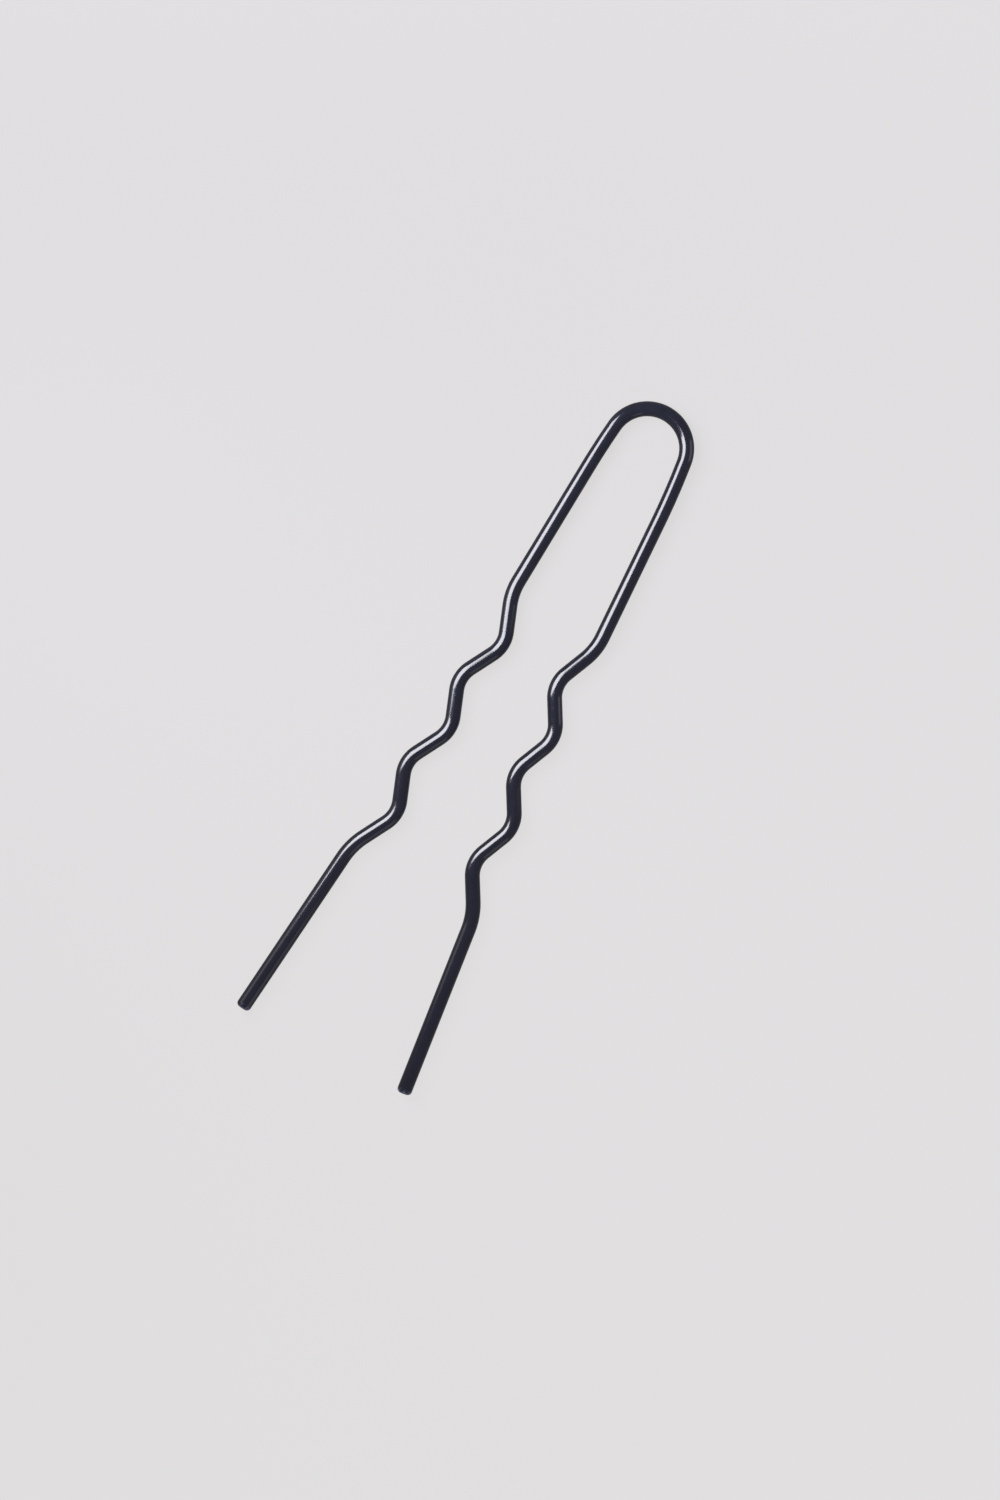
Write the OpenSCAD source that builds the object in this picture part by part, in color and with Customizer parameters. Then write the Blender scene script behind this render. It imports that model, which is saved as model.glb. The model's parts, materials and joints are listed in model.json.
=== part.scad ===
// Waved hairpin bent from one round wire: a bow at +Y and two crimped prongs with their tips at -Y.
// Millimetres. It lies on the XY plane with +Z up, and the origin is under the middle of its box.
// The wire flexes, so it is drawn in five rigid lengths that meet at four flexures. Each length has
// its steel core and, over that, its film of lacquer.

/* [Wire] */
// Diameter of the bare steel wire
wire_d = 1.25; // [0.9:0.05:1.5]
// Thickness of the lacquer film
lacquer_t = 0.05; // [0.03:0.01:0.08]
// Radius that rounds the rim of each cut tip
tip_rim = 0.38; // [0.2:0.02:0.44]

/* [Bends, to the middle of the wire] */
// Radius of the bow
bow_r = 3.54; // [3:0.02:5]
// Radius of the faint bend that draws each prong in below the bow
neck_r = 71.5; // [50:0.5:120]
// Radius of the bend from the shoulder into the crimps
entry_r = 5.65; // [4:0.05:8]
// Radius of each crimp
crimp_r = 2.74; // [2:0.02:3.5]
// Radius of the bend from the crimps into the straight leg
exit_r = 6.44; // [4:0.02:9]
// Number of crimps in a prong, an odd number
crimps = 5; // [3:2:7]

/* [Left prong] */
// Turn of the bow from its crown to the left prong, in degrees
left_bow_angle = 84.6; // [80:0.1:88]
// Turn of the faint bend, in degrees
left_neck_angle = 3.3; // [1:0.1:6]
// Straight shoulder between the outer flexure and the entry bend
left_shoulder = 9.77; // [6:0.01:16]
// Turn of the entry bend, in degrees
left_entry_angle = 23.7; // [20:0.1:30]
// Straight run between two crimps
left_run = 2.38; // [1.5:0.01:4]
// Turn of each crimp, in degrees
left_crimp_angle = 49.5; // [40:0.1:58]
// Turn of the exit bend, in degrees
left_exit_angle = 23.2; // [20:0.1:30]
// Straight leg from the exit bend to the tip
left_leg = 16.2; // [10:0.1:24]

/* [Right prong] */
// Turn of the bow from its crown to the right prong, in degrees
right_bow_angle = 82.2; // [80:0.1:88]
// Turn of the faint bend, in degrees
right_neck_angle = 4.5; // [1:0.1:6]
// Straight shoulder between the outer flexure and the entry bend
right_shoulder = 9.17; // [6:0.01:16]
// Turn of the entry bend, in degrees
right_entry_angle = 25.6; // [20:0.1:30]
// Straight run between two crimps
right_run = 2.15; // [1.5:0.01:4]
// Turn of each crimp, in degrees
right_crimp_angle = 53.3; // [40:0.1:58]
// Turn of the exit bend, in degrees
right_exit_angle = 23.5; // [20:0.1:30]
// Straight leg from the exit bend to the tip
right_leg = 15.7; // [10:0.1:24]

/* [Flexures] */
// Gap along the wire where two lengths meet, which leaves room to turn
flex_gap = 0.2; // [0.18:0.01:0.24]
// Straight wire between the faint bend and the outer flexure
neck_straight = 2; // [1:0.1:4]
// Steel left round the corners of a knuckle's pocket
pocket_wall = 0.1; // [0.06:0.01:0.14]
// Running clearance of a knuckle in its pocket
knuckle_gap = 0.03; // [0.02:0.01:0.05]

/* [Hidden] */
$fn = 48;
core_r = wire_d / 2;
film_r = core_r + lacquer_t;
// A knuckle is as wide as it is tall, and its pocket's corners stay a wall's width inside the steel
knuckle_r = (core_r - pocket_wall) * cos(45) - knuckle_gap;
pocket_r = knuckle_r + knuckle_gap;
// Bent wire is this much fatter than straight wire
swell = 0.005;
// How far a straight's end reaches into the bend beside it, and a cut past the face that it opens
overlap = 0.05;
// Points taken on each stretch of wire to find the box that the hairpin fills
samples = 24;
steel = "#b4b7bd";
lacquer = "#211f27";

// The wire's middle line is a chain of stretches. A straight is [0, length] and a bend is
// [radius, turn in degrees], where a positive turn is to the left of the way the wire runs.
flexure = [0, flex_gap];

// Crimps that turn out and in by turns, each between two straight runs
function waves(run, turn) =
    [for (i = [0 : 2 * crimps]) i % 2 == 0 ? [0, run] : [crimp_r, i % 4 == 1 ? -turn : turn]];

// A prong's stretches from the bow to its tip, turning inward to the left
function prong_chain(neck_angle, shoulder, entry_angle, run, crimp_angle, exit_angle, leg) = concat(
    [flexure, [neck_r, neck_angle], [0, neck_straight]],
    [flexure, [0, shoulder], [entry_r, entry_angle]],
    waves(run, crimp_angle),
    [[exit_r, exit_angle], [0, leg]]
);

// The same stretches with each turn the other way
function turned_over(chain) = [for (s = chain) s.x == 0 ? s : [s.x, -s.y]];

left_chain = prong_chain(
    left_neck_angle, left_shoulder, left_entry_angle, left_run, left_crimp_angle, left_exit_angle, left_leg
);
right_chain = turned_over(prong_chain(
    right_neck_angle, right_shoulder, right_entry_angle, right_run, right_crimp_angle, right_exit_angle,
    right_leg
));

// A place on the line is [x, y, heading in degrees]. This is the place at the end of a stretch.
function after(place, s) = s.x == 0
    ? [place.x + s.y * cos(place.z), place.y + s.y * sin(place.z), place.z]
    : [
        place.x + sign(s.y) * s.x * (sin(place.z + s.y) - sin(place.z)),
        place.y - sign(s.y) * s.x * (cos(place.z + s.y) - cos(place.z)),
        place.z + s.y
    ];

// The places where the stretches of a chain begin, and where the last one ends
function places(chain, start) = [
    for (i = 0, p = start; i <= len(chain); p = i < len(chain) ? after(p, chain[i]) : p, i = i + 1) p
];

// The same place, run through the other way
function reversed(place) = [place.x, place.y, place.z + 180];

// The chains start at the ends of the bow, whose crown is at [0, 0]
crown = [0, 0, 180];
left_start = after(crown, [bow_r, left_bow_angle]);
right_start = after(reversed(crown), [bow_r, -right_bow_angle]);
left_places = places(left_chain, left_start);
right_places = places(right_chain, right_start);

// The bow is one bend from the right neck round to the left neck
bow_start = reversed(right_start);
bow_chain = [[bow_r, left_bow_angle + right_bow_angle]];

// Stretches of a chain by number: the first flexure, the neck's, the second flexure, the prong's
INNER_FLEXURE = 0;
NECK = [1, 2];
OUTER_FLEXURE = 3;
PRONG_FIRST = 4;
function last(chain) = len(chain) - 1;

// Both edges of the wire at points all along a chain
function edges(chain, at) = [
    for (i = [0 : last(chain)], k = [0 : samples], side = [-1, 1])
        let (p = after(at[i], [chain[i].x, chain[i].y * k / samples]))
            [p.x - side * film_r * sin(p.z), p.y + side * film_r * cos(p.z)]
];
outline = concat(
    edges(bow_chain, [bow_start]),
    edges(left_chain, left_places),
    edges(right_chain, right_places)
);
function middle(values) = (min(values) + max(values)) / 2;
box_middle = [middle([for (p = outline) p.x]), middle([for (p = outline) p.y])];

// Cross-section of the wire, or of what lies round it
module ring(outer, inner) {
    difference() {
        circle(outer);
        if (inner > 0)
            circle(inner);
    }
}

// Children go to a place on the line, with +X along the wire
module put(place) {
    translate([place.x - box_middle.x, place.y - box_middle.y, film_r + swell])
        rotate([0, 0, place.z])
            children();
}

// How far a straight reaches into the stretch beside it, which it does only where that is a bend
function reach(neighbour) = neighbour.x > 0 ? overlap : 0;

// Stretch number i of a chain, solid or hollow
module stretch(chain, i, outer, inner) {
    s = chain[i];
    if (s.x == 0) {
        before = reach(chain[i - 1]);
        translate([-before, 0, 0])
            rotate([90, 0, 90])
                linear_extrude(before + s.y + reach(chain[i + 1]))
                    ring(outer, inner);
    } else {
        translate([0, sign(s.y) * s.x, 0])
            rotate([0, 0, -90 * sign(s.y)])
                rotate_extrude(angle = s.y)
                    translate([s.x, 0])
                        ring(outer + swell, inner > 0 ? inner + swell : 0);
    }
}

// Several stretches of a chain, by number
module stretches(chain, at, numbers, outer, inner = 0) {
    for (i = numbers)
        put(at[i])
            stretch(chain, i, outer, inner);
}

// Half of the outline of a leg that ends in a cut tip with a rounded rim
module leg_profile(r, length, rim) {
    square([r, length - rim]);
    square([r - rim, length]);
    translate([r - rim, length - rim])
        intersection() {
            circle(rim);
            square(rim);
        }
}

// A prong's last stretch, turned from its outline. Its steel stops a film's thickness short.
module leg_core(chain, at) {
    before = reach(chain[last(chain) - 1]);
    length = before + chain[last(chain)].y;
    put(at[last(chain)])
        translate([-before, 0, 0])
            rotate([90, 0, 90])
                rotate_extrude()
                    leg_profile(core_r, length - lacquer_t, tip_rim - lacquer_t);
}

module leg_film(chain, at) {
    before = reach(chain[last(chain) - 1]);
    length = before + chain[last(chain)].y;
    put(at[last(chain)])
        translate([-before, 0, 0])
            rotate([90, 0, 90])
                rotate_extrude()
                    difference() {
                        leg_profile(film_r, length, tip_rim);
                        leg_profile(core_r, length - lacquer_t, tip_rim - lacquer_t);
                        translate([0, -overlap])
                            square([core_r, 2 * overlap]);
                    }
}

// The middle of a flexure, where its knuckle turns
function pivot(at, flexure_number) = after(at[flexure_number], [0, flex_gap / 2]);

// A round knuckle at a flexure, or its pocket. The inner one turns about Z, in the hairpin's plane,
// and the outer one turns out of the plane.
module knuckle(at, flexure_number, r) {
    put(pivot(at, flexure_number))
        rotate([flexure_number == INNER_FLEXURE ? 0 : 90, 0, 0])
            cylinder(r = r, h = 2 * r, center = true);
}

module neck_core(chain, at) {
    difference() {
        union() {
            stretches(chain, at, NECK, core_r);
            knuckle(at, INNER_FLEXURE, knuckle_r);
        }
        knuckle(at, OUTER_FLEXURE, pocket_r);
    }
}

module prong_core(chain, at) {
    knuckle(at, OUTER_FLEXURE, knuckle_r);
    stretches(chain, at, [PRONG_FIRST : last(chain) - 1], core_r);
    leg_core(chain, at);
}

module prong_film(chain, at) {
    stretches(chain, at, [PRONG_FIRST : last(chain) - 1], film_r, core_r);
    leg_film(chain, at);
}

module bow_wire() {
    color(steel)
        difference() {
            stretches(bow_chain, [bow_start], [0], core_r);
            knuckle(left_places, INNER_FLEXURE, pocket_r);
            knuckle(right_places, INNER_FLEXURE, pocket_r);
        }
}

module bow_lacquer() {
    color(lacquer)
        stretches(bow_chain, [bow_start], [0], film_r, core_r);
}

module left_neck_wire() {
    color(steel)
        neck_core(left_chain, left_places);
}

module left_neck_lacquer() {
    color(lacquer)
        stretches(left_chain, left_places, NECK, film_r, core_r);
}

module left_prong_wire() {
    color(steel)
        prong_core(left_chain, left_places);
}

module left_prong_lacquer() {
    color(lacquer)
        prong_film(left_chain, left_places);
}

module right_neck_wire() {
    color(steel)
        neck_core(right_chain, right_places);
}

module right_neck_lacquer() {
    color(lacquer)
        stretches(right_chain, right_places, NECK, film_r, core_r);
}

module right_prong_wire() {
    color(steel)
        prong_core(right_chain, right_places);
}

module right_prong_lacquer() {
    color(lacquer)
        prong_film(right_chain, right_places);
}

bow_wire();
bow_lacquer();
left_neck_wire();
left_neck_lacquer();
left_prong_wire();
left_prong_lacquer();
right_neck_wire();
right_neck_lacquer();
right_prong_wire();
right_prong_lacquer();
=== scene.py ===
"""Dresses the waved hairpin: one bent steel wire under a film of glossy blue-black lacquer."""
import json
import math

import bpy
import numpy as np
from bpy.props import FloatProperty, FloatVectorProperty, IntProperty, PointerProperty
from mathutils import Matrix, Vector


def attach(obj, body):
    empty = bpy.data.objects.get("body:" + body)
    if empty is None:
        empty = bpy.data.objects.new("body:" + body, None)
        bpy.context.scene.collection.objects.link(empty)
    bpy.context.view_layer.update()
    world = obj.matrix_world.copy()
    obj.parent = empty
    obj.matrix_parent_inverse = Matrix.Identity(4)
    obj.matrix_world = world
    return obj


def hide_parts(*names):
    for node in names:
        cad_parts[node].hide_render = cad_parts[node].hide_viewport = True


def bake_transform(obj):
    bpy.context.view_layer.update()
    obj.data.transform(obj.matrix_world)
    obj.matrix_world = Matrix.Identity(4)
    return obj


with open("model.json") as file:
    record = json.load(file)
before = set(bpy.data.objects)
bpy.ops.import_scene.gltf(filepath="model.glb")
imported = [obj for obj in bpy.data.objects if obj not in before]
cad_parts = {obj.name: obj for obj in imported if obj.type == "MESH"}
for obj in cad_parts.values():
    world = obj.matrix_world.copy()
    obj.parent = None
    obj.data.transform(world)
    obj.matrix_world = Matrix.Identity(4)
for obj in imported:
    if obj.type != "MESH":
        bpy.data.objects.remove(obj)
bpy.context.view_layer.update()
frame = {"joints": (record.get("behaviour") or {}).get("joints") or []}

bl_info = {
    "name": "Waved Hairpin",
    "version": (1, 0, 0),
    "blender": (4, 5, 0),
    "location": "3D View > Sidebar > Hairpin",
    "description": "Wire, lacquer and studio of a waved hairpin",
    "category": "Object",
}

MM = 0.001
SIDES = ("left", "right")


def degrees(*values):
    """The values, given in degrees, in the radians that a rotation property holds."""
    return tuple(math.radians(v) for v in values)


class WireSizes(bpy.types.PropertyGroup):
    """Sizes of the wire and its bends. A pair is for the left and the right prong."""

    wire: FloatProperty(
        name="Wire", description="Diameter of the bare steel wire", default=1.25 * MM, unit="LENGTH")
    lacquer: FloatProperty(
        name="Lacquer", description="Thickness of the lacquer film", default=0.05 * MM, unit="LENGTH")
    tip_rim: FloatProperty(
        name="Tip rim", description="Radius that rounds the rim of each cut tip",
        default=0.38 * MM, unit="LENGTH")
    bow_radius: FloatProperty(
        name="Bow radius", description="Radius of the bow", default=3.54 * MM, unit="LENGTH")
    neck_radius: FloatProperty(
        name="Neck radius", description="Radius of the faint bend below the bow",
        default=71.5 * MM, unit="LENGTH")
    entry_radius: FloatProperty(
        name="Entry radius", description="Radius of the bend into the crimps",
        default=5.65 * MM, unit="LENGTH")
    crimp_radius: FloatProperty(
        name="Crimp radius", description="Radius of each crimp", default=2.74 * MM, unit="LENGTH")
    exit_radius: FloatProperty(
        name="Exit radius", description="Radius of the bend out of the crimps",
        default=6.44 * MM, unit="LENGTH")
    crimps: IntProperty(
        name="Crimps", description="Number of crimps in a prong, an odd number", default=5)
    flexure: FloatProperty(
        name="Flexure", description="Wire between the rigid lengths of the frame",
        default=0.2 * MM, unit="LENGTH")
    neck_straight: FloatProperty(
        name="Neck straight", description="Straight wire below the faint bend",
        default=2 * MM, unit="LENGTH")
    bow_turn: FloatVectorProperty(
        name="Bow turn", description="Turn from the crown to each prong",
        size=2, default=degrees(84.6, 82.2), unit="ROTATION")
    neck_turn: FloatVectorProperty(
        name="Neck turn", description="Turn of the faint bend",
        size=2, default=degrees(3.3, 4.5), unit="ROTATION")
    shoulder: FloatVectorProperty(
        name="Shoulder", description="Straight wire above the entry bend",
        size=2, default=(9.77 * MM, 9.17 * MM), unit="LENGTH")
    entry_turn: FloatVectorProperty(
        name="Entry turn", description="Turn of the bend into the crimps",
        size=2, default=degrees(23.7, 25.6), unit="ROTATION")
    run: FloatVectorProperty(
        name="Run", description="Straight wire between two crimps",
        size=2, default=(2.38 * MM, 2.15 * MM), unit="LENGTH")
    crimp_turn: FloatVectorProperty(
        name="Crimp turn", description="Turn of each crimp",
        size=2, default=degrees(49.5, 53.3), unit="ROTATION")
    exit_turn: FloatVectorProperty(
        name="Exit turn", description="Turn of the bend out of the crimps",
        size=2, default=degrees(23.2, 23.5), unit="ROTATION")
    leg: FloatVectorProperty(
        name="Leg", description="Straight leg down to the tip",
        size=2, default=(16.2 * MM, 15.7 * MM), unit="LENGTH")
    flex_reach: FloatProperty(
        name="Flex reach", description="Length of wire that bends, on either side of a joint",
        default=1.8 * MM, unit="LENGTH")
    seam_margin: FloatProperty(
        name="Seam margin", description="Wire between a seam of two pieces and where bending starts",
        default=0.4 * MM, unit="LENGTH")


class Finishes(bpy.types.PropertyGroup):
    """Colours and surface detail of the lacquer and the steel."""

    lacquer: FloatVectorProperty(
        name="Lacquer", description="Blue-black of the baked film",
        size=3, default=(0.005, 0.0055, 0.011), subtype="COLOR", min=0, max=1)
    # Colour of the pale, bluish grey patches that noise lays on each cut end and its rim
    lacquer_tip_patch: FloatVectorProperty(
        name="Pale tip patches", description="Colour where the film is thin or rubbed, at the tips",
        size=3, default=(0.17, 0.175, 0.25), subtype="COLOR", min=0, max=1)
    lacquer_roughness: FloatProperty(
        name="Lacquer roughness", description="Roughness of the film's glossy face",
        default=0.14, min=0, max=1)
    peel: FloatProperty(
        name="Orange peel", description="Height of the film's fine ripples",
        default=0.0005 * MM, precision=6, unit="LENGTH")
    steel: FloatVectorProperty(
        name="Steel", description="Colour of the drawn wire",
        size=3, default=(0.56, 0.57, 0.59), subtype="COLOR", min=0, max=1)
    draw_lines: FloatProperty(
        name="Draw lines", description="Depth of the lines that drawing leaves along the wire",
        default=0.0015 * MM, precision=6, unit="LENGTH")


class Studio(bpy.types.PropertyGroup):
    """Floor, lamps and camera."""

    floor: FloatVectorProperty(
        name="Floor", description="Colour of the floor",
        size=3, default=(0.753, 0.738, 0.745), subtype="COLOR", min=0, max=1)
    floor_glow: FloatProperty(
        name="Floor glow", description="Share of the floor's look that no shadow reaches",
        default=0.95, min=0, max=1)
    floor_reflected: FloatProperty(
        name="Reflected floor", description="Brightness of the floor where the lacquer mirrors it",
        default=0.4, min=0, max=1)
    key_place: FloatVectorProperty(
        name="Key place", description="Middle of the soft box",
        size=3, default=(-0.0959, 0.0341, 0.0855), subtype="TRANSLATION", unit="LENGTH")
    key_facing: FloatVectorProperty(
        name="Key facing", description="Way that the soft box faces",
        size=3, default=(0.294, 0.726, -0.621), subtype="DIRECTION")
    key_roll: FloatProperty(
        name="Key roll", description="Turn of the soft box about the way that it faces",
        default=0.611, unit="ROTATION")
    key_size: FloatVectorProperty(
        name="Key size", description="Sides of the soft box",
        size=2, default=(0.1475, 0.0745), unit="LENGTH")
    key_light: FloatProperty(
        name="Key light", description="Brightness of the soft box's face, where 1 is white",
        default=13.6)
    key_colour: FloatVectorProperty(
        name="Key colour", description="Tint of the soft box",
        size=3, default=(0.98, 0.98, 1.04), subtype="COLOR", min=0, soft_max=1)
    card_light: FloatVectorProperty(
        name="Card light", description="Brightness of the left, lower right and upper right cards",
        size=3, default=(0.8, 0.45, 0.9), min=0)
    card_colour: FloatVectorProperty(
        name="Card colour", description="Tint of the cards",
        size=3, default=(0.94, 0.97, 1.0), subtype="COLOR", min=0, max=1)
    sky: FloatVectorProperty(
        name="Sky", description="Dim light from all round",
        size=3, default=(0.28, 0.285, 0.37), subtype="COLOR", min=0, max=1)
    backdrop: FloatVectorProperty(
        name="Backdrop", description="What the camera sees behind the floor",
        size=3, default=(0.753, 0.738, 0.745), subtype="COLOR", min=0, max=1)
    lens: FloatProperty(name="Lens", description="Focal length in millimetres", default=100.0)
    scale: FloatProperty(
        name="Scale", description="Pixels of the 1000 by 1500 picture to a metre of the wire",
        default=11.2 / MM)
    turn: FloatProperty(
        name="Turn", description="Turn of the camera about the upright line",
        default=math.radians(29.145), unit="ROTATION")
    aim: FloatVectorProperty(
        name="Aim", description="Place on the floor under the middle of the picture",
        size=2, default=(0.00075487, -0.0013658), unit="LENGTH")


# The wire's middle line

# Rows of a prong's stretches that are the flexures of its spread and its lift
FLEXURE_ROWS = (1, 4)


def prong_stretches(sizes, side):
    """Length and turn of each stretch from the crown to a tip. A turn is positive where the prong
    bends the way the bow does, and a straight has none."""
    crimp = sizes.crimp_turn[side]
    waves = []
    for number in range(sizes.crimps):
        turn = crimp if number % 2 else -crimp
        waves += [(sizes.run[side], 0.0), (sizes.crimp_radius * crimp, turn)]
    return np.array([
        (sizes.bow_radius * sizes.bow_turn[side], sizes.bow_turn[side]),
        (sizes.flexure, 0.0),
        (sizes.neck_radius * sizes.neck_turn[side], sizes.neck_turn[side]),
        (sizes.neck_straight, 0.0),
        (sizes.flexure, 0.0),
        (sizes.shoulder[side], 0.0),
        (sizes.entry_radius * sizes.entry_turn[side], sizes.entry_turn[side]),
        *waves,
        (sizes.run[side], 0.0),
        (sizes.exit_radius * sizes.exit_turn[side], sizes.exit_turn[side]),
        (sizes.leg[side], 0.0),
    ])


def chord(length, curvature, heading):
    """Way across an arc: its length times the sine ratio of half its turn, along its mean heading."""
    half = curvature * length / 2
    across = length * np.sinc(half / np.pi)
    return np.stack([across * np.cos(heading + half), across * np.sin(heading + half)], axis=-1)


class MiddleLine:
    """The whole wire as one line from the left tip to the right tip. A place on it is the distance
    from the crown, negative to the left. The curvature is constant in each stretch, so the heading
    is a running sum of the turns, and a point is its stretch's start plus the chord to it."""

    def __init__(self, sizes):
        left, right = (prong_stretches(sizes, side) for side in (0, 1))
        lengths = np.concatenate([left[::-1, 0], right[:, 0]])
        turns = -np.concatenate([left[::-1, 1], right[:, 1]])
        self.ends = (-left[:, 0].sum(), right[:, 0].sum())
        self.starts = self.ends[0] + np.concatenate([[0], np.cumsum(lengths)[:-1]])
        self.curvatures = turns / lengths
        self.headings = left[:, 1].sum() + np.concatenate([[0], np.cumsum(turns)[:-1]])
        steps = chord(lengths, self.curvatures, self.headings)
        self.corners = np.concatenate([[[0, 0]], np.cumsum(steps, axis=0)[:-1]])
        self.corners -= self.at(np.zeros(1))[0][0]
        pivots = [prong[:row, 0].sum() + sizes.flexure / 2
                  for prong in (left, right) for row in FLEXURE_ROWS]
        self.pivots = {name: sign * along for name, sign, along in zip(
            ("left_spread", "left_lift", "right_spread", "right_lift"), (-1, -1, 1, 1), pivots)}
        anchors = {j["name"]: np.array(j["pos_m"]) for j in frame["joints"]}
        shifts = [anchors[name][:2] - self.at(np.array([along]))[0][0]
                  for name, along in self.pivots.items()]
        self.corners += np.mean(shifts, axis=0)
        self.height = np.mean([anchor[2] for anchor in anchors.values()])

    def at(self, along):
        """Points and headings at an array of distances."""
        stretch = np.clip(np.searchsorted(self.starts, along, side="right") - 1, 0, len(self.starts) - 1)
        into = along - self.starts[stretch]
        heading = self.headings[stretch]
        points = self.corners[stretch] + chord(into, self.curvatures[stretch], heading)
        return points, heading + self.curvatures[stretch] * into

    def point(self, along):
        """One point in space."""
        x, y = self.at(np.array([along]))[0][0]
        return Vector((x, y, self.height))


# Profiles that are carried along the line

# Steps along the outside and along the inside of a piece
OUTER_STEP = 0.08 * MM
INNER_STEP = 0.3 * MM
# Vertices round the wire, and their angles
AROUND = 64
ANGLES = np.arange(AROUND) * 2 * math.pi / AROUND
# Stations on the rounded rim and on the flat face of a cut tip
RIM_STATIONS = 13
FACE_STATIONS = 5
# A station of a smaller radius is a pole
POLE_RADIUS = 1e-6 * MM


class Profile:
    """Stations of a surface: a distance along the line and a radius each, with the outward normal of
    the strip after each station at both its ends, as a share along the line and a share outwards.
    Outer surfaces run towards the right tip."""

    def __init__(self, closed):
        self.closed = closed
        self.along, self.radius, self.normals = [], [], []

    def strip(self, along, radius, normal_along, normal_out):
        """Adds stations whose strips share a smooth run of normals. The last station isn't kept: the
        next strip starts there."""
        along, radius, *normal = np.broadcast_arrays(along, radius, normal_along, normal_out)
        normal = np.stack(normal, axis=-1)
        self.along.append(along[:-1])
        self.radius.append(radius[:-1])
        self.normals.append(np.stack([normal[:-1], normal[1:]], axis=1))
        self.last = along[-1], radius[-1]

    def stations(self):
        """Distances, radii and strip normals. An open profile keeps the end of its last strip."""
        along, radius = np.concatenate(self.along), np.concatenate(self.radius)
        if not self.closed:
            along, radius = np.append(along, self.last[0]), np.append(radius, self.last[1])
        return along, radius, np.concatenate(self.normals)

    def mirrored(self):
        """Stations of the same surface with its tip at the left end."""
        along, radius, normals = self.stations()
        normals = (normals * [-1, 1])[::-1, ::-1]
        if self.closed:
            # The strip that closes the loop has to stay the last
            normals = np.roll(normals, -1, axis=0)
        return -along[::-1], radius[::-1], normals


def distances(start, end, step):
    """Distances from start to end, both held, about a step apart."""
    return np.linspace(start, end, max(2, math.ceil(abs(end - start) / step) + 1))


def tip_rows(profile, end, radius, rim, outward):
    """Adds a cut tip with a quarter round of radius rim on its edge, then a flat disc to the pole.
    With outward -1 the same wall is taken from the pole to the tube, facing inwards."""
    angle = np.linspace(0, math.pi / 2, RIM_STATIONS)
    ahead, aside = np.sin(angle), np.cos(angle)
    face = np.linspace(radius - rim, 0, FACE_STATIONS)
    ones, zeros = np.ones(FACE_STATIONS), np.zeros(FACE_STATIONS)
    rows = [
        (end - rim + rim * ahead, radius - rim + rim * aside, ahead, aside),
        (end * ones, face, ones, zeros),
    ]
    for row in rows[::outward]:
        along, radii, normal_along, normal_out = (part[::outward] for part in row)
        profile.strip(along, radii, outward * normal_along, outward * normal_out)


def sleeve(start, end, outer, inner):
    """Stations of an open length of film: out along the outside, back along the inside."""
    profile = Profile(closed=True)
    profile.strip(distances(start, end, OUTER_STEP), outer, 0, 1)
    profile.strip(np.array([end, end]), np.array([outer, inner]), 1, 0)
    profile.strip(distances(end, start, INNER_STEP), inner, 0, -1)
    profile.strip(np.array([start, start]), np.array([inner, outer]), -1, 0)
    return profile


def capped_sleeve(start, end, outer, inner, rim):
    """Stations of a length of film that closes over a cut tip, from its inner pole to its outer."""
    film = outer - inner
    profile = Profile(closed=False)
    tip_rows(profile, end - film, inner, rim - film, -1)
    profile.strip(distances(end - rim, start, INNER_STEP), inner, 0, -1)
    profile.strip(np.array([start, start]), np.array([inner, outer]), -1, 0)
    profile.strip(distances(start, end - rim, OUTER_STEP), outer, 0, 1)
    tip_rows(profile, end, outer, rim, 1)
    return profile


def rod(start, end, radius):
    """Stations of a solid length of wire with flat ends."""
    profile = Profile(closed=False)
    profile.strip(np.array([start, start]), np.array([0, radius]), -1, 0)
    profile.strip(distances(start, end, INNER_STEP), radius, 0, 1)
    profile.strip(np.array([end, end]), np.array([radius, 0]), 1, 0)
    return profile


def tipped_rod(start, end, radius, rim):
    """Stations of a solid length of wire that ends in a cut tip."""
    profile = Profile(closed=False)
    profile.strip(np.array([start, start]), np.array([0, radius]), -1, 0)
    profile.strip(distances(start, end - rim, INNER_STEP), radius, 0, 1)
    tip_rows(profile, end, radius, rim, 1)
    return profile


def four_corners(here, there):
    """What two neighbouring rows hold at the four corners of each face between them, in order."""
    return np.stack([here, np.roll(here, -1, 1), np.roll(there, -1, 1), there], axis=2)


def ring_faces(pole, closed):
    """Faces from each station to the next. A pole is one vertex that its whole row shares, so two
    corners of a face are one there, and the second isn't used. Gives the rows before and after the
    faces, the vertices of the grid that are kept, the faces' corners and the corners in use."""
    vertices = np.where(pole, 1, AROUND)
    first = np.cumsum(vertices) - vertices
    index = first[:, None] + np.where(pole[:, None], 0, np.arange(AROUND))
    kept = np.ones(index.shape, bool)
    kept[pole, 1:] = False
    here = np.arange(len(pole) if closed else len(pole) - 1)
    there = (here + 1) % len(pole)
    corners = four_corners(index[here], index[there])
    used = np.ones(corners.shape, bool)
    used[pole[here], :, 1] = False
    used[pole[there], :, 3] = False
    return here, there, kept, corners.reshape(-1, 4), used.reshape(-1, 4)


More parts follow.
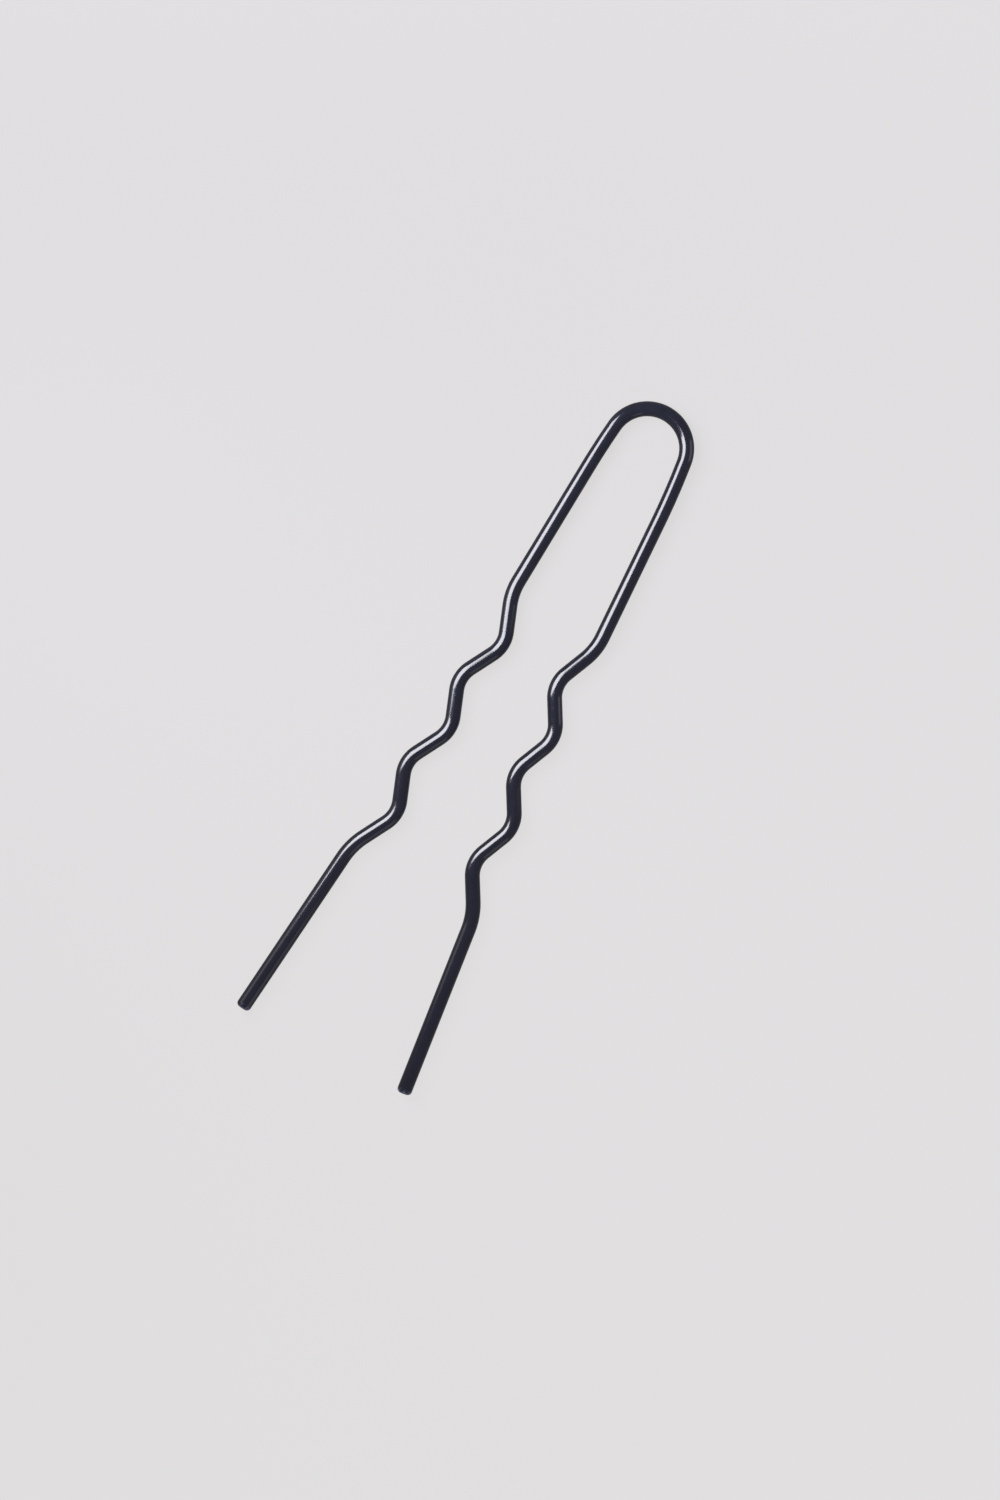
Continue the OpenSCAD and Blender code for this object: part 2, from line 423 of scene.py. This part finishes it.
def build_mesh(name, points, corners, used, normals):
    """A smooth mesh of faces with three or four corners, each corner with a normal of its own."""
    counts = used.sum(axis=1)
    mesh = bpy.data.meshes.new(name)
    mesh.vertices.add(len(points))
    mesh.vertices.foreach_set("co", points.astype(np.float32).ravel())
    mesh.loops.add(int(counts.sum()))
    mesh.loops.foreach_set("vertex_index", corners[used].astype(np.int32))
    mesh.polygons.add(len(counts))
    mesh.polygons.foreach_set("loop_start", (np.cumsum(counts) - counts).astype(np.int32))
    mesh.update(calc_edges=True)
    mesh.shade_smooth()
    unit = normals[used]
    mesh.normals_split_custom_set((unit / np.linalg.norm(unit, axis=1, keepdims=True)).tolist())
    return mesh


def add_attribute(mesh, name, kind, field, values):
    """Keeps a value for each vertex, which the materials read by its name."""
    attribute = mesh.attributes.new(name, kind, "POINT")
    attribute.data.foreach_set(field, values.astype(np.float32).ravel())


def in_scene(name, data):
    """A new object of the data, linked to the scene."""
    thing = bpy.data.objects.new(name, data)
    bpy.context.scene.collection.objects.link(thing)
    return thing


def swept(name, line, profile, mirrored=False):
    """A mesh object of one profile carried along the line. A vertex is the line's point at its
    station, plus the radius times the unit vector at its angle round the wire, where angle zero is
    level and to the left of the way the line runs. A corner's normal is its strip's share of the
    line's own way, plus its share of that unit vector."""
    along, radius, normals = profile.mirrored() if mirrored else profile.stations()
    points, heading = line.at(along)
    flat = np.zeros(len(along))
    level = np.stack([-np.sin(heading), np.cos(heading), flat], axis=-1)
    forward = np.stack([np.cos(heading), np.sin(heading), flat], axis=-1)
    rays = level[:, None] * np.cos(ANGLES)[:, None] + np.array([0, 0, 1.0]) * np.sin(ANGLES)[:, None]
    centres = np.concatenate([points, np.full((len(along), 1), line.height)], axis=1)
    grid = centres[:, None] + radius[:, None, None] * rays
    here, there, kept, corners, used = ring_faces(radius < POLE_RADIUS, profile.closed)
    ahead = np.stack([forward[here], forward[there]], axis=1).repeat(2, axis=1)[:, None]
    share = normals.repeat(2, axis=1)[:, None]
    facing = share[..., :1] * ahead + share[..., 1:] * four_corners(rays[here], rays[there])
    mesh = build_mesh(name, grid[kept], corners, used, facing.reshape(-1, 4, 3))
    unbent = np.stack([
        radius[:, None] * np.cos(ANGLES), radius[:, None] * np.sin(ANGLES),
        np.broadcast_to(along[:, None], kept.shape),
    ], axis=-1)
    add_attribute(mesh, "straightened", "FLOAT_VECTOR", "vector", unbent[kept])
    tip = np.minimum(along - line.ends[0], line.ends[1] - along)
    add_attribute(mesh, "to_tip", "FLOAT", "value", np.broadcast_to(tip[:, None], kept.shape)[kept])
    mesh.validate()
    return in_scene(name, mesh)


# Nodes that the materials are made of

# Sockets of a Mix node, by what it mixes: its first value, its second and its result
MIX_SOCKETS = {"FLOAT": ("_2", "_3", 0), "RGBA": ("_6", "_7", 2)}
# Most of a noise pattern lies between these two values
NOISE_SPAN = (0.3, 0.7)


def add(tree, kind, settings=(), **inputs):
    """A node with its settings, and its sockets either linked to another node's or given a value. A
    socket goes by its name, or by an underscore and its number."""
    node = tree.nodes.new(kind)
    for name, value in dict(settings).items():
        setattr(node, name, value)
    for name, value in inputs.items():
        socket = node.inputs[int(name[1:]) if name[1:].isdigit() else name.replace("_", " ")]
        if isinstance(value, bpy.types.NodeSocket):
            tree.links.new(value, socket)
        else:
            socket.default_value = value
    return node


def attribute(tree, name, output):
    """What a mesh keeps for each vertex under this name."""
    return add(tree, "ShaderNodeAttribute", {"attribute_name": name}).outputs[output]


def noise(tree, place, grain, **inputs):
    """A noise pattern with so many features to a unit of the place."""
    return add(tree, "ShaderNodeTexNoise", Vector=place, Scale=grain, **inputs).outputs["Fac"]


def ranged(tree, value, low, high, start=0.0, end=1.0):
    """Goes from start to end as the value goes from low to high, and no further."""
    node = add(tree, "ShaderNodeMapRange", Value=value, From_Min=low, From_Max=high, To_Min=start,
               To_Max=end)
    return node.outputs["Result"]


def maths(tree, operation, *values, clamp=False):
    """Result of an operation on two or three values."""
    inputs = {f"_{number}": value for number, value in enumerate(values)}
    node = add(tree, "ShaderNodeMath", {"operation": operation, "use_clamp": clamp}, **inputs)
    return node.outputs["Value"]


def mixed(tree, kind, factor, first, second, **settings):
    """Two values or colours mixed by a factor. A factor of 1 gives all of the second, or the product
    of the two where the settings ask for it."""
    one, two, result = MIX_SOCKETS[kind]
    node = add(tree, "ShaderNodeMix", {"data_type": kind, **settings}, _0=factor,
               **{one: first, two: second})
    return node.outputs[result]


def new_material(name):
    """An empty material, and the tree that takes its nodes."""
    material = bpy.data.materials.new(name)
    material.use_nodes = True
    material.node_tree.nodes.clear()
    return material, material.node_tree


# The lacquer's patterns, in features to a metre. Those of its draw lines are given across the wire,
# both ways, and along it
TINT_GRAIN = 900.0
PATCH_GRAIN = 1500.0
PEEL_GRAIN = 2200.0
SMEAR_GRAIN = 2600.0
LACQUER_LINES = (9000.0, 9000.0, 220.0)
# Least and most that the tint multiplies the lacquer's colour by
TINT_RANGE = (0.75, 1.25)
# The pale patches are full up to the first distance from the tip's end, and gone at the second
PATCH_REACH = (0.15 * MM, 0.5 * MM)
# There is no patch where the noise is under the first value, and a full patch over the second
PATCH_SPAN = (0.47, 0.58)
# Slice of the noise, which sets where the pale patches lie
PATCH_SLICE = 7.0
# Share of the draw lines in the film's ripples, where orange peel has the rest
LINES_SHARE = 0.35
# Least and most that smears add to the film's roughness
SMEARS = (-0.02, 0.03)
# Index of refraction of the film
LACQUER_IOR = 1.6


def lacquer_material(looks):
    """Baked blue-black lacquer: a near-black film whose tint wanders a little, draw lines and orange
    peel that ripple its highlights, and paler, greyer patches on the cut ends."""
    material, tree = new_material("blue_black_lacquer")
    place = attribute(tree, "straightened", "Vector")
    tip = attribute(tree, "to_tip", "Fac")
    drift = noise(tree, place, TINT_GRAIN, Detail=3.0, Roughness=0.6)
    tint = ranged(tree, drift, *NOISE_SPAN, *TINT_RANGE)
    base = mixed(tree, "RGBA", 1.0, (*looks.lacquer, 1), tint, blend_type="MULTIPLY")
    # Paler, greyer patches on the cut end and its rim, where the noise lets them lie
    near = ranged(tree, tip, *PATCH_REACH, 1.0, 0.0)
    patch_noise = add(tree, "ShaderNodeTexNoise", {"noise_dimensions": "4D"}, Vector=place, W=PATCH_SLICE,
               Scale=PATCH_GRAIN, Detail=3.0, Roughness=0.6)
    tip_patches = maths(tree, "MULTIPLY", near, ranged(tree, patch_noise.outputs["Fac"], *PATCH_SPAN))
    colour = mixed(tree, "RGBA", tip_patches, base, (*looks.lacquer_tip_patch, 1))
    # Draw lines: noise stretched along the wire
    long = add(tree, "ShaderNodeMapping", Vector=place, Scale=LACQUER_LINES).outputs["Vector"]
    lines = noise(tree, long, 1.0, Detail=2.0)
    peel = noise(tree, place, PEEL_GRAIN, Detail=1.5, Roughness=0.4)
    ripple = mixed(tree, "FLOAT", LINES_SHARE, peel, lines)
    bump = add(tree, "ShaderNodeBump", Strength=1.0, Distance=looks.peel, Height=ripple)
    smears = noise(tree, place, SMEAR_GRAIN, Detail=4.0, Roughness=0.65)
    rough = ranged(tree, smears, *NOISE_SPAN, *(looks.lacquer_roughness + part for part in SMEARS))
    shader = add(tree, "ShaderNodeBsdfPrincipled", Base_Color=colour, Roughness=rough,
                 IOR=LACQUER_IOR, Normal=bump.outputs["Normal"])
    add(tree, "ShaderNodeOutputMaterial", Surface=shader.outputs["BSDF"])
    return material


# The steel's patterns, given as the lacquer's are
STEEL_LINES = (14000.0, 14000.0, 160.0)
TONE_GRAIN = 500.0
# Share of the slow tone in the steel's shade, where the drawn lines have the rest
TONE_SHARE = 0.4
# Least and most that the shade multiplies the steel's colour by
SHADE_RANGE = (0.72, 1.15)
# Least and most roughness of the steel
STEEL_ROUGHNESS = (0.24, 0.42)


def steel_material(looks):
    """Drawn spring steel: fine bright and dark lines along the wire, with the grease and oxide of
    storage as a slow change of tone."""
    material, tree = new_material("drawn_spring_steel")
    place = attribute(tree, "straightened", "Vector")
    long = add(tree, "ShaderNodeMapping", Vector=place, Scale=STEEL_LINES).outputs["Vector"]
    lines = noise(tree, long, 1.0, Detail=4.0, Roughness=0.6)
    tone = noise(tree, place, TONE_GRAIN, Detail=3.0)
    shade = ranged(tree, mixed(tree, "FLOAT", TONE_SHARE, lines, tone), *NOISE_SPAN, *SHADE_RANGE)
    colour = mixed(tree, "RGBA", 1.0, (*looks.steel, 1), shade, blend_type="MULTIPLY")
    rough = ranged(tree, lines, *NOISE_SPAN, *STEEL_ROUGHNESS)
    bump = add(tree, "ShaderNodeBump", Strength=1.0, Distance=looks.draw_lines, Height=lines)
    shader = add(tree, "ShaderNodeBsdfPrincipled", Base_Color=colour, Metallic=1.0, Roughness=rough,
                 Normal=bump.outputs["Normal"])
    add(tree, "ShaderNodeOutputMaterial", Surface=shader.outputs["BSDF"])
    return material


# Pieces

def reaches(sizes, line):
    """Where the neck and the prong of each side start and where its tip is, as distances from the
    crown."""
    found = {}
    for side, sign, tip in zip(SIDES, (-1, 1), line.ends):
        neck = sign * line.pivots[f"{side}_spread"] - sizes.flex_reach - sizes.seam_margin
        prong = sign * line.pivots[f"{side}_lift"] - sizes.flex_reach - sizes.seam_margin
        found[side] = (neck, prong, sign * tip)
    return found


def bend_with(piece, sizes, line, joint):
    """Finds the points at the reach on either side of a joint, which nothing uses, and bakes the piece's
    place into its mesh.
    """
    pivot = line.pivots[joint]
    reach = math.copysign(sizes.flex_reach, pivot)
    line.point(pivot - reach)
    line.point(pivot + reach)
    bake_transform(piece)


def make_lengths(sizes, material, open_length, tip_length, suffix, stands_for):
    """Makes the bow, two necks and two prongs of one layer, the film or the steel. The functions
    open_length and tip_length give the profile of a plain length and of one with a cut tip."""
    line = MiddleLine(sizes)
    cuts = reaches(sizes, line)
    bow = swept(f"bow_{suffix}", line, open_length(-cuts["left"][0], cuts["right"][0]))
    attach(bow, "bow")
    pieces = [(bow, "bow")]
    for side in SIDES:
        neck_start, prong_start, end = cuts[side]
        mirrored = side == "left"
        neck = swept(f"{side}_neck_{suffix}", line, open_length(neck_start, prong_start), mirrored)
        prong = swept(f"{side}_prong_{suffix}", line, tip_length(prong_start, end), mirrored)
        bend_with(neck, sizes, line, f"{side}_spread")
        bend_with(prong, sizes, line, f"{side}_lift")
        pieces += [(neck, f"{side}_neck"), (prong, f"{side}_prong")]
    for piece, body in pieces:
        piece.data.materials.append(material)
        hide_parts(f"{body}_{stands_for}")


class HAIRPIN_OT_make_film(bpy.types.Operator):
    """Make the lacquer film, in five lengths: the bow, two necks and two prongs"""

    bl_idname = "hairpin.make_film"
    bl_label = "Make Lacquer Film"

    def execute(self, context):
        sizes = context.scene.hairpin_sizes
        inner = sizes.wire / 2
        outer = inner + sizes.lacquer
        make_lengths(
            sizes, lacquer_material(context.scene.hairpin_finishes),
            lambda start, end: sleeve(start, end, outer, inner),
            lambda start, end: capped_sleeve(start, end, outer, inner, sizes.tip_rim),
            "film", "lacquer")
        return {"FINISHED"}


class HAIRPIN_OT_make_core(bpy.types.Operator):
    """Make the steel wire inside the film, in the same five lengths"""

    bl_idname = "hairpin.make_core"
    bl_label = "Make Steel Wire"

    def execute(self, context):
        sizes = context.scene.hairpin_sizes
        radius, film = sizes.wire / 2, sizes.lacquer
        make_lengths(
            sizes, steel_material(context.scene.hairpin_finishes),
            lambda start, end: rod(start, end, radius),
            lambda start, end: tipped_rod(start, end - film, radius, sizes.tip_rim - film),
            "core", "wire")
        return {"FINISHED"}


class HAIRPIN_OT_make_studio(bpy.types.Operator):
    """Make the pale floor, the soft box, three faint cards, the dim surroundings and the camera"""

    bl_idname = "hairpin.make_studio"
    bl_label = "Make Studio"

    def execute(self, context):
        scene, studio = context.scene, context.scene.hairpin_studio
        make_floor(studio)
        make_lamps(studio)
        make_sky(scene, studio)
        make_camera(scene, studio)
        scene.view_settings.view_transform = "Standard"
        return {"FINISHED"}


# Radii of the floor and of its innermost ring, and the number of rings
FLOOR_RADIUS = 3.0
FLOOR_CORE = 0.02
FLOOR_RINGS = 24
# The soft box's light on the floor: middle, turn and reach of its spot, what the spot adds at its
# middle, and the light far away from it
SPOT_MIDDLE = (-0.0718, 0.0231, 0)
SPOT_TURN = 5.0978
SPOT_REACH = (0.0671, 0.107, 1)
SPOT_LIGHT = 3.59
FAR_LIGHT = 0.3


def make_floor(studio):
    """A disc in polar rings, each ring's radius a constant times the last."""
    rings = np.geomspace(FLOOR_CORE, FLOOR_RADIUS, FLOOR_RINGS)
    circle = np.stack([np.cos(ANGLES), np.sin(ANGLES), np.zeros(AROUND)], axis=-1)
    vertices = np.concatenate([[[0, 0, 0]], (rings[:, None, None] * circle).reshape(-1, 3)])
    inner = 1 + np.arange((FLOOR_RINGS - 1) * AROUND).reshape(-1, AROUND)
    beside = np.roll(inner, -1, 1)
    quads = np.stack([inner, inner + AROUND, beside + AROUND, beside], -1)
    fan = np.stack([np.zeros(AROUND, int), inner[0], beside[0]], -1)
    mesh = bpy.data.meshes.new("floor")
    mesh.from_pydata(vertices.tolist(), [], fan.tolist() + quads.reshape(-1, 4).tolist())
    mesh.materials.append(floor_material(studio))
    floor = in_scene("floor", mesh)


def floor_material(studio):
    """Plain and even to the camera, with a faint shadow, and dimmer where the lacquer mirrors it. The
    soft box lights the floor by the spot's light over the square of 1 + d * d, plus the far light,
    where d is the distance from the spot's middle as a share of its reach. The floor's own glow evens
    that out."""
    material, tree = new_material("pale_floor")
    colour = (*studio.floor, 1)
    glow_share = studio.floor_glow
    ray = add(tree, "ShaderNodeLightPath").outputs
    place = add(tree, "ShaderNodeTexCoord").outputs["Object"]
    spot = add(tree, "ShaderNodeMapping", {"vector_type": "TEXTURE"}, Vector=place,
               Location=SPOT_MIDDLE, Rotation=(0, 0, SPOT_TURN), Scale=SPOT_REACH).outputs["Vector"]
    square = add(tree, "ShaderNodeVectorMath", {"operation": "DOT_PRODUCT"}, _0=spot, _1=spot)
    fall = maths(tree, "POWER", maths(tree, "ADD", square.outputs["Value"], 1.0), -2.0)
    light = maths(tree, "MULTIPLY_ADD", fall, SPOT_LIGHT, FAR_LIGHT)
    even = maths(tree, "MULTIPLY_ADD", light, -(1 - glow_share) / glow_share, 1 / glow_share)
    mirrored = maths(tree, "ADD", ray["Is Glossy Ray"], ray["Is Transmission Ray"], clamp=True)
    share = maths(tree, "MULTIPLY_ADD", ray["Is Camera Ray"], glow_share, mirrored, clamp=True)
    strength = mixed(tree, "FLOAT", mirrored, even, studio.floor_reflected)
    lit = add(tree, "ShaderNodeBsdfDiffuse", Color=colour)
    glow = add(tree, "ShaderNodeEmission", Color=colour, Strength=strength)
    surface = add(tree, "ShaderNodeMixShader", _0=share, _1=lit.outputs["BSDF"],
                  _2=glow.outputs["Emission"])
    add(tree, "ShaderNodeOutputMaterial", Surface=surface.outputs["Shader"])
    return material


def add_lamp(name, place, facing, roll, size, light, colour):
    """A lamp with a lit face, which the camera doesn't see. Its light is the face's brightness times
    pi times its area."""
    facing = Vector(facing).normalized()
    side = (Vector((1, 0, 0)) - facing * facing.x).normalized()
    side = Matrix.Rotation(roll, 3, facing) @ side
    up = side.cross(facing)
    data = bpy.data.lights.new(name, "AREA")
    data.shape = "RECTANGLE"
    data.size, data.size_y = size
    data.energy = light * math.pi * data.size * data.size_y
    data.color = colour
    turn = Matrix((side, up, -facing)).transposed().to_4x4()
    lamp = in_scene(name, data)
    lamp.matrix_world = Matrix.Translation(place) @ turn
    lamp.visible_camera = False


# Middle of each upright card, the way it faces, and its width and height
CARDS = {
    "left_card": ((-0.106, -0.016, 0.056), (0.993, 0.119, 0), (0.06, 0.085)),
    "lower_right_card": ((0.0921, -0.0559, 0.037), (-0.883, 0.469, 0), (0.04, 0.07)),
    "upper_right_card": ((0.0895, 0.080, 0.045), (-0.883, -0.469, 0), (0.05, 0.08)),
}


def make_lamps(studio):
    """A near soft box to the left of the pin, whose reflection is the line of light on the wire, and
    three pale cards that show faintly on its sides."""
    add_lamp("key_softbox", studio.key_place, studio.key_facing, studio.key_roll, studio.key_size,
             studio.key_light, studio.key_colour)
    for (name, (place, facing, size)), light in zip(CARDS.items(), studio.card_light):
        add_lamp(name, place, facing, 0, size, light, studio.card_colour)


def make_sky(scene, studio):
    """Dim light from all round, which the camera sees as the backdrop's colour."""
    world = bpy.data.worlds.new("dim_studio")
    world.use_nodes = True
    tree = world.node_tree
    tree.nodes.clear()
    seen = add(tree, "ShaderNodeLightPath").outputs["Is Camera Ray"]
    colour = mixed(tree, "RGBA", seen, (*studio.sky, 1), (*studio.backdrop, 1))
    sky = add(tree, "ShaderNodeBackground", Color=colour, Strength=1.0)
    add(tree, "ShaderNodeOutputWorld", Surface=sky.outputs["Background"])
    scene.world = world


# Height of the picture in pixels
PICTURE_HEIGHT = 1500
# Nearest and farthest that the camera sees
CLIP_START = 0.01
CLIP_END = 20


def make_camera(scene, studio):
    """Looks straight down, as far up as gives the picture's scale at the height of the wire. The
    sensor's width lies along the picture's longer side, which is its height."""
    data = bpy.data.cameras.new("camera")
    data.lens = studio.lens
    distance = PICTURE_HEIGHT / studio.scale * data.lens / data.sensor_width
    camera = in_scene("camera", data)
    height = frame["joints"][0]["pos_m"][2]
    camera.location = (*studio.aim, height + distance)
    camera.rotation_euler = (0, 0, studio.turn)
    data.clip_start, data.clip_end = CLIP_START, CLIP_END
    scene.camera = camera


GROUPS = {"hairpin_sizes": WireSizes, "hairpin_finishes": Finishes, "hairpin_studio": Studio}
OPERATORS = (HAIRPIN_OT_make_core, HAIRPIN_OT_make_film, HAIRPIN_OT_make_studio)


class HAIRPIN_PT_panel(bpy.types.Panel):
    """Lists the sizes, finishes and studio of the hairpin, and the operators that make it"""

    bl_idname = "HAIRPIN_PT_panel"
    bl_label = "Waved Hairpin"
    bl_space_type = "VIEW_3D"
    bl_region_type = "UI"
    bl_category = "Hairpin"

    def draw(self, context):
        for group_name in GROUPS:
            box = self.layout.box()
            group = getattr(context.scene, group_name)
            for name in group.__annotations__:
                box.prop(group, name)
        for operator in OPERATORS:
            self.layout.operator(operator.bl_idname)


def register():
    """Makes the settings, operators and panel known to Blender."""
    for name, group in GROUPS.items():
        bpy.utils.register_class(group)
        setattr(bpy.types.Scene, name, PointerProperty(type=group))
    for cls in (*OPERATORS, HAIRPIN_PT_panel):
        bpy.utils.register_class(cls)


def unregister():
    """Takes away what register made known."""
    for cls in (HAIRPIN_PT_panel, *reversed(OPERATORS)):
        bpy.utils.unregister_class(cls)
    for name, group in GROUPS.items():
        delattr(bpy.types.Scene, name)
        bpy.utils.unregister_class(group)


def main():
    """Makes the whole scene."""
    register()
    bpy.ops.hairpin.make_studio()
    bpy.ops.hairpin.make_core()
    bpy.ops.hairpin.make_film()
    bpy.context.view_layer.update()


if __name__ == "__main__":
    main()
